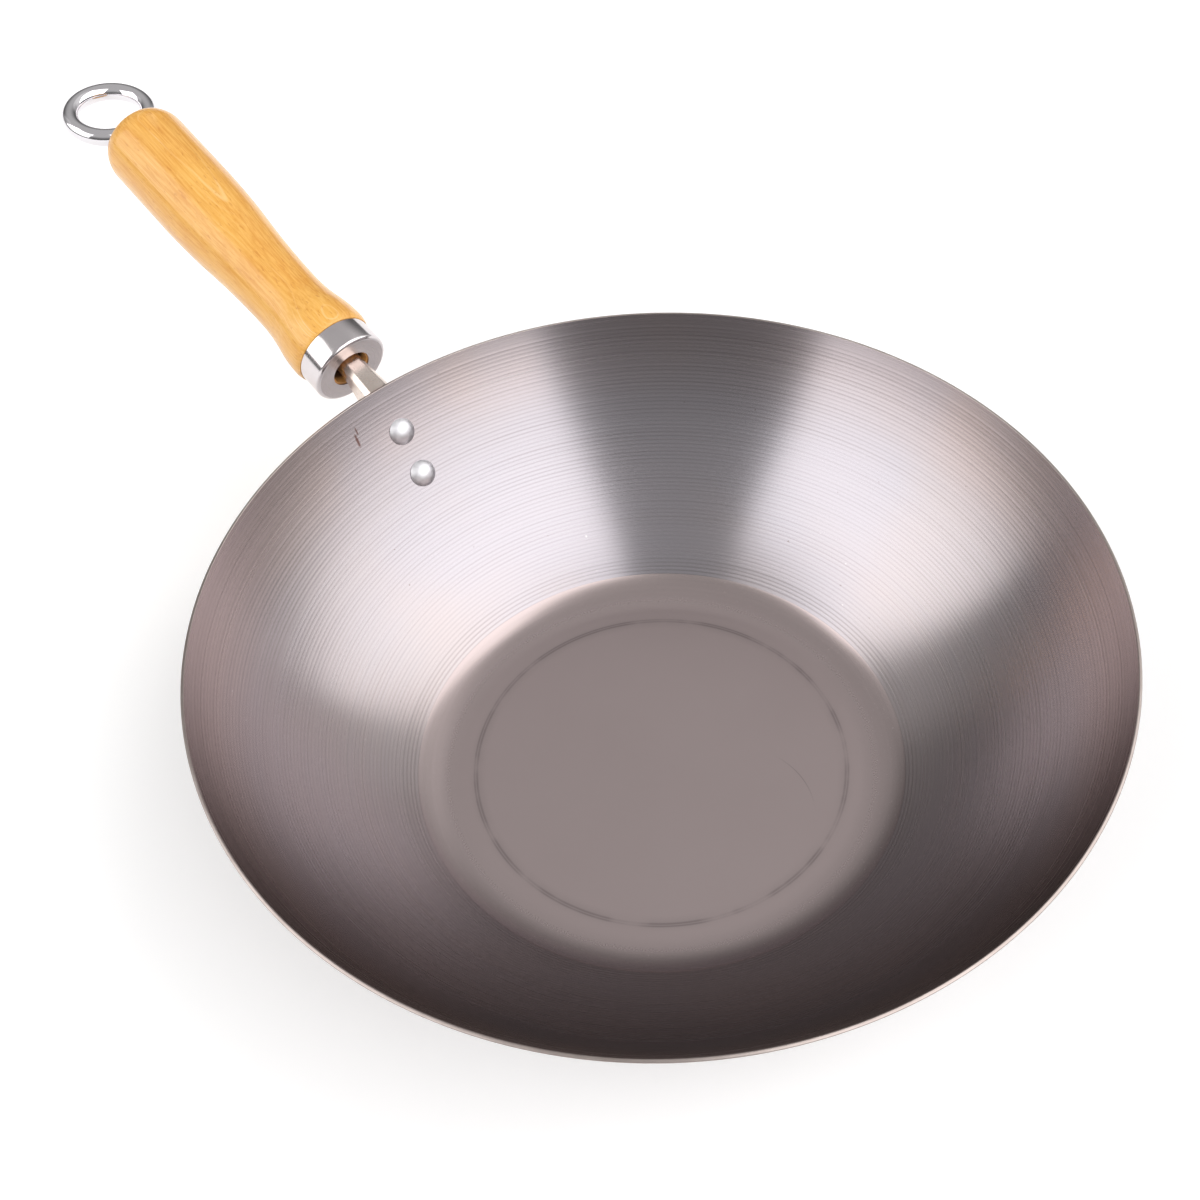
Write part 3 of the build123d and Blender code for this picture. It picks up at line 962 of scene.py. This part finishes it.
def grip():
    """Builds the grip and returns how far it reaches along the handle."""
    points, zones = grip_outline()
    mesh = turned_along("turned_grip", points, handle_sides, zones=zones, closed=True, sharp=35)
    link("turned_grip", mesh, [lacquered_wood(), bare_wood()], "wok", "lacquered_wood", "wooden_grip",
         place=handle_place)
    return max(along for along, radius in points)


def rod_and_washer(grip_end):
    """The tie rod from the nut to its spigot in the ring, and the washer on the end of the grip."""
    washer_face = grip_end + washer_thickness
    spigot_end = washer_face + ring_seat_gap + ring_bar_radius
    rod = [(tang_length, 0.0), (tang_length, rod_radius - rod_tip_chamfer),
           (tang_length + rod_tip_chamfer, rod_radius), (washer_face, rod_radius),
           (washer_face, rod_spigot_radius), (spigot_end, rod_spigot_radius), (spigot_end, 0.0)]
    link("tie_rod_bar", turned_along("tie_rod_bar", rod, rod_sides), zinc, "ring", "zinc_steel", "tie_rod",
         place=handle_place)
    washer = [(grip_end, washer_hole_radius), (grip_end, washer_radius),
              (washer_face - washer_edge_round, washer_radius)]
    bend(washer, 0.0, washer_edge_round, -math.pi / 2, 4)
    washer.append((washer_face, washer_hole_radius))
    mesh = turned_along("flat_washer", washer, washer_sides, closed=True)
    link("flat_washer", mesh, zinc, "washer", "zinc_steel", "end_washer", place=handle_place)


def ring():
    """The hanging ring, square to the axis of its mount."""
    hole = next(m for m in frame["record"]["mounts"] if m["name"] == "hanging_hole")
    bar = [(ring_major_radius + ring_bar_radius * math.cos(a), ring_bar_radius * math.sin(a))
           for a in spread(0.0, 2 * math.pi, ring_bar_sides)[:-1]]
    mesh = turned("chrome_ring", bar, ring_sides, closed=True, sharp=60)
    mesh.transform(Vector(hole["axis"]).to_track_quat("Z", "Y").to_matrix().to_4x4())
    link("chrome_ring", mesh, chrome(), "ring", "ring_chrome", "hanging_ring",
         place=Matrix.Translation(hole["pos_m"]))


# Studio


def panel(nodes, direction, start, end, low, high, soft, slant):
    """1 inside this range of azimuth and elevation and 0 outside."""
    middle = math.radians((start + end) / 2) + picture_turn
    turned_way = put(nodes, "ShaderNodeVectorRotate", {"rotation_type": "Z_AXIS"},
                     {"Vector": direction, "Angle": -middle}).outputs[0]
    x, y, z = split(nodes, turned_way)
    elevation = calc(nodes, "ARCSINE", z)
    moved = times(nodes, calc(nodes, "SUBTRACT", elevation, math.radians(slant_level)), slant)
    azimuth = calc(nodes, "ABSOLUTE", calc(nodes, "ADD", calc(nodes, "ARCTAN2", y, x), moved))
    half = math.radians((end - start) / 2)
    edge = math.radians(soft)
    across = smooth(nodes, azimuth, half - edge, half + edge, 1.0, 0.0)
    over = smooth(nodes, elevation, math.radians(low) - edge, math.radians(low) + edge)
    under = smooth(nodes, elevation, math.radians(high) - edge, math.radians(high) + edge, 1.0, 0.0)
    return times(nodes, across, over, under)


def studio():
    """A world with plain light that grows with the elevation, and large soft panels."""
    world = bpy.data.worlds.new("studio")
    bpy.context.scene.world = world
    world.use_nodes = True
    nodes = world.node_tree.nodes
    direction = put(nodes, "ShaderNodeTexCoord").outputs["Generated"]
    height = calc(nodes, "ARCSINE", split(nodes, direction)[2])
    light = smooth(nodes, height, *map(math.radians, plain_light_elevations), *plain_light_levels)
    for *place, strength in panels:
        light = calc(nodes, "ADD", light, times(nodes, panel(nodes, direction, *place), strength))
    background = nodes["Background"]
    background.inputs["Color"].default_value = (1.0, 1.0, 1.0, 1.0)
    nodes.id_data.links.new(light, background.inputs["Strength"])


def floor():
    """A plain pale floor, which glows a little for the camera and in reflections, so that it shows white."""
    mesh = bpy.data.meshes.new("floor")
    half = floor_half
    mesh.from_pydata([(-half, -half, 0), (half, -half, 0), (half, half, 0), (-half, half, 0)], [],
                     [(0, 1, 2, 3)])
    obj = bpy.data.objects.new("floor", mesh)
    bpy.context.scene.collection.objects.link(obj)
    material, nodes, shader = new_material("pale_floor")
    path = put(nodes, "ShaderNodeLightPath")
    seen = calc(nodes, "MAXIMUM", path.outputs["Is Camera Ray"],
                calc(nodes, "MAXIMUM", path.outputs["Is Glossy Ray"], path.outputs["Is Transmission Ray"]))
    feed(nodes, shader, Base_Color=(*floor_colour, 1.0), Roughness=0.9, Specular_IOR_Level=0.1,
         Emission_Color=(1.0, 1.0, 1.0, 1.0), Emission_Strength=times(nodes, seen, floor_glow))
    mesh.materials.append(material)


def camera():
    """The photograph's camera, aimed so that the middle of the base shows at picture_aim."""
    outwards = math.cos(camera_elevation)
    back = Vector((math.sin(picture_turn) * outwards, -math.cos(picture_turn) * outwards,
                   math.sin(camera_elevation)))
    level = Vector((math.cos(picture_turn), math.sin(picture_turn), 0))
    rise = back.cross(level)
    right = level * math.cos(camera_roll) + rise * math.sin(camera_roll)
    up = rise * math.cos(camera_roll) - level * math.sin(camera_roll)
    pixel = camera_distance * camera_sensor / camera_lens / picture_size
    aside = (picture_aim[0] - picture_size / 2) * pixel
    below = (picture_aim[1] - picture_size / 2) * pixel
    data = bpy.data.cameras.new("camera")
    data.lens = camera_lens
    data.sensor_width = camera_sensor
    obj = bpy.data.objects.new("camera", data)
    bpy.context.scene.collection.objects.link(obj)
    place = Vector((0, 0, bowl_sheet)) + back * camera_distance - right * aside + up * below
    obj.matrix_world = Matrix.Translation(place) @ Matrix((right, up, back)).transposed().to_4x4()
    bpy.context.scene.camera = obj


# The whole scene

bowl()

headed = headed_aluminium()
rivet("upper_rivet_head", "upper_rivet", upper_rivet_from_rim, 0.0)
bracket()
rivet("lower_rivet_head", "lower_rivet", upper_rivet_from_rim + rivet_spacing, math.radians(140))

ferrule()
zinc = zinc_steel()
rod_and_washer(grip())
ring()

nut = frame["nodes"]["tang_nut"].data
nut.materials.clear()
nut.materials.append(zinc)

studio()
floor()
camera()

bpy.context.scene.view_settings.view_transform = "Standard"
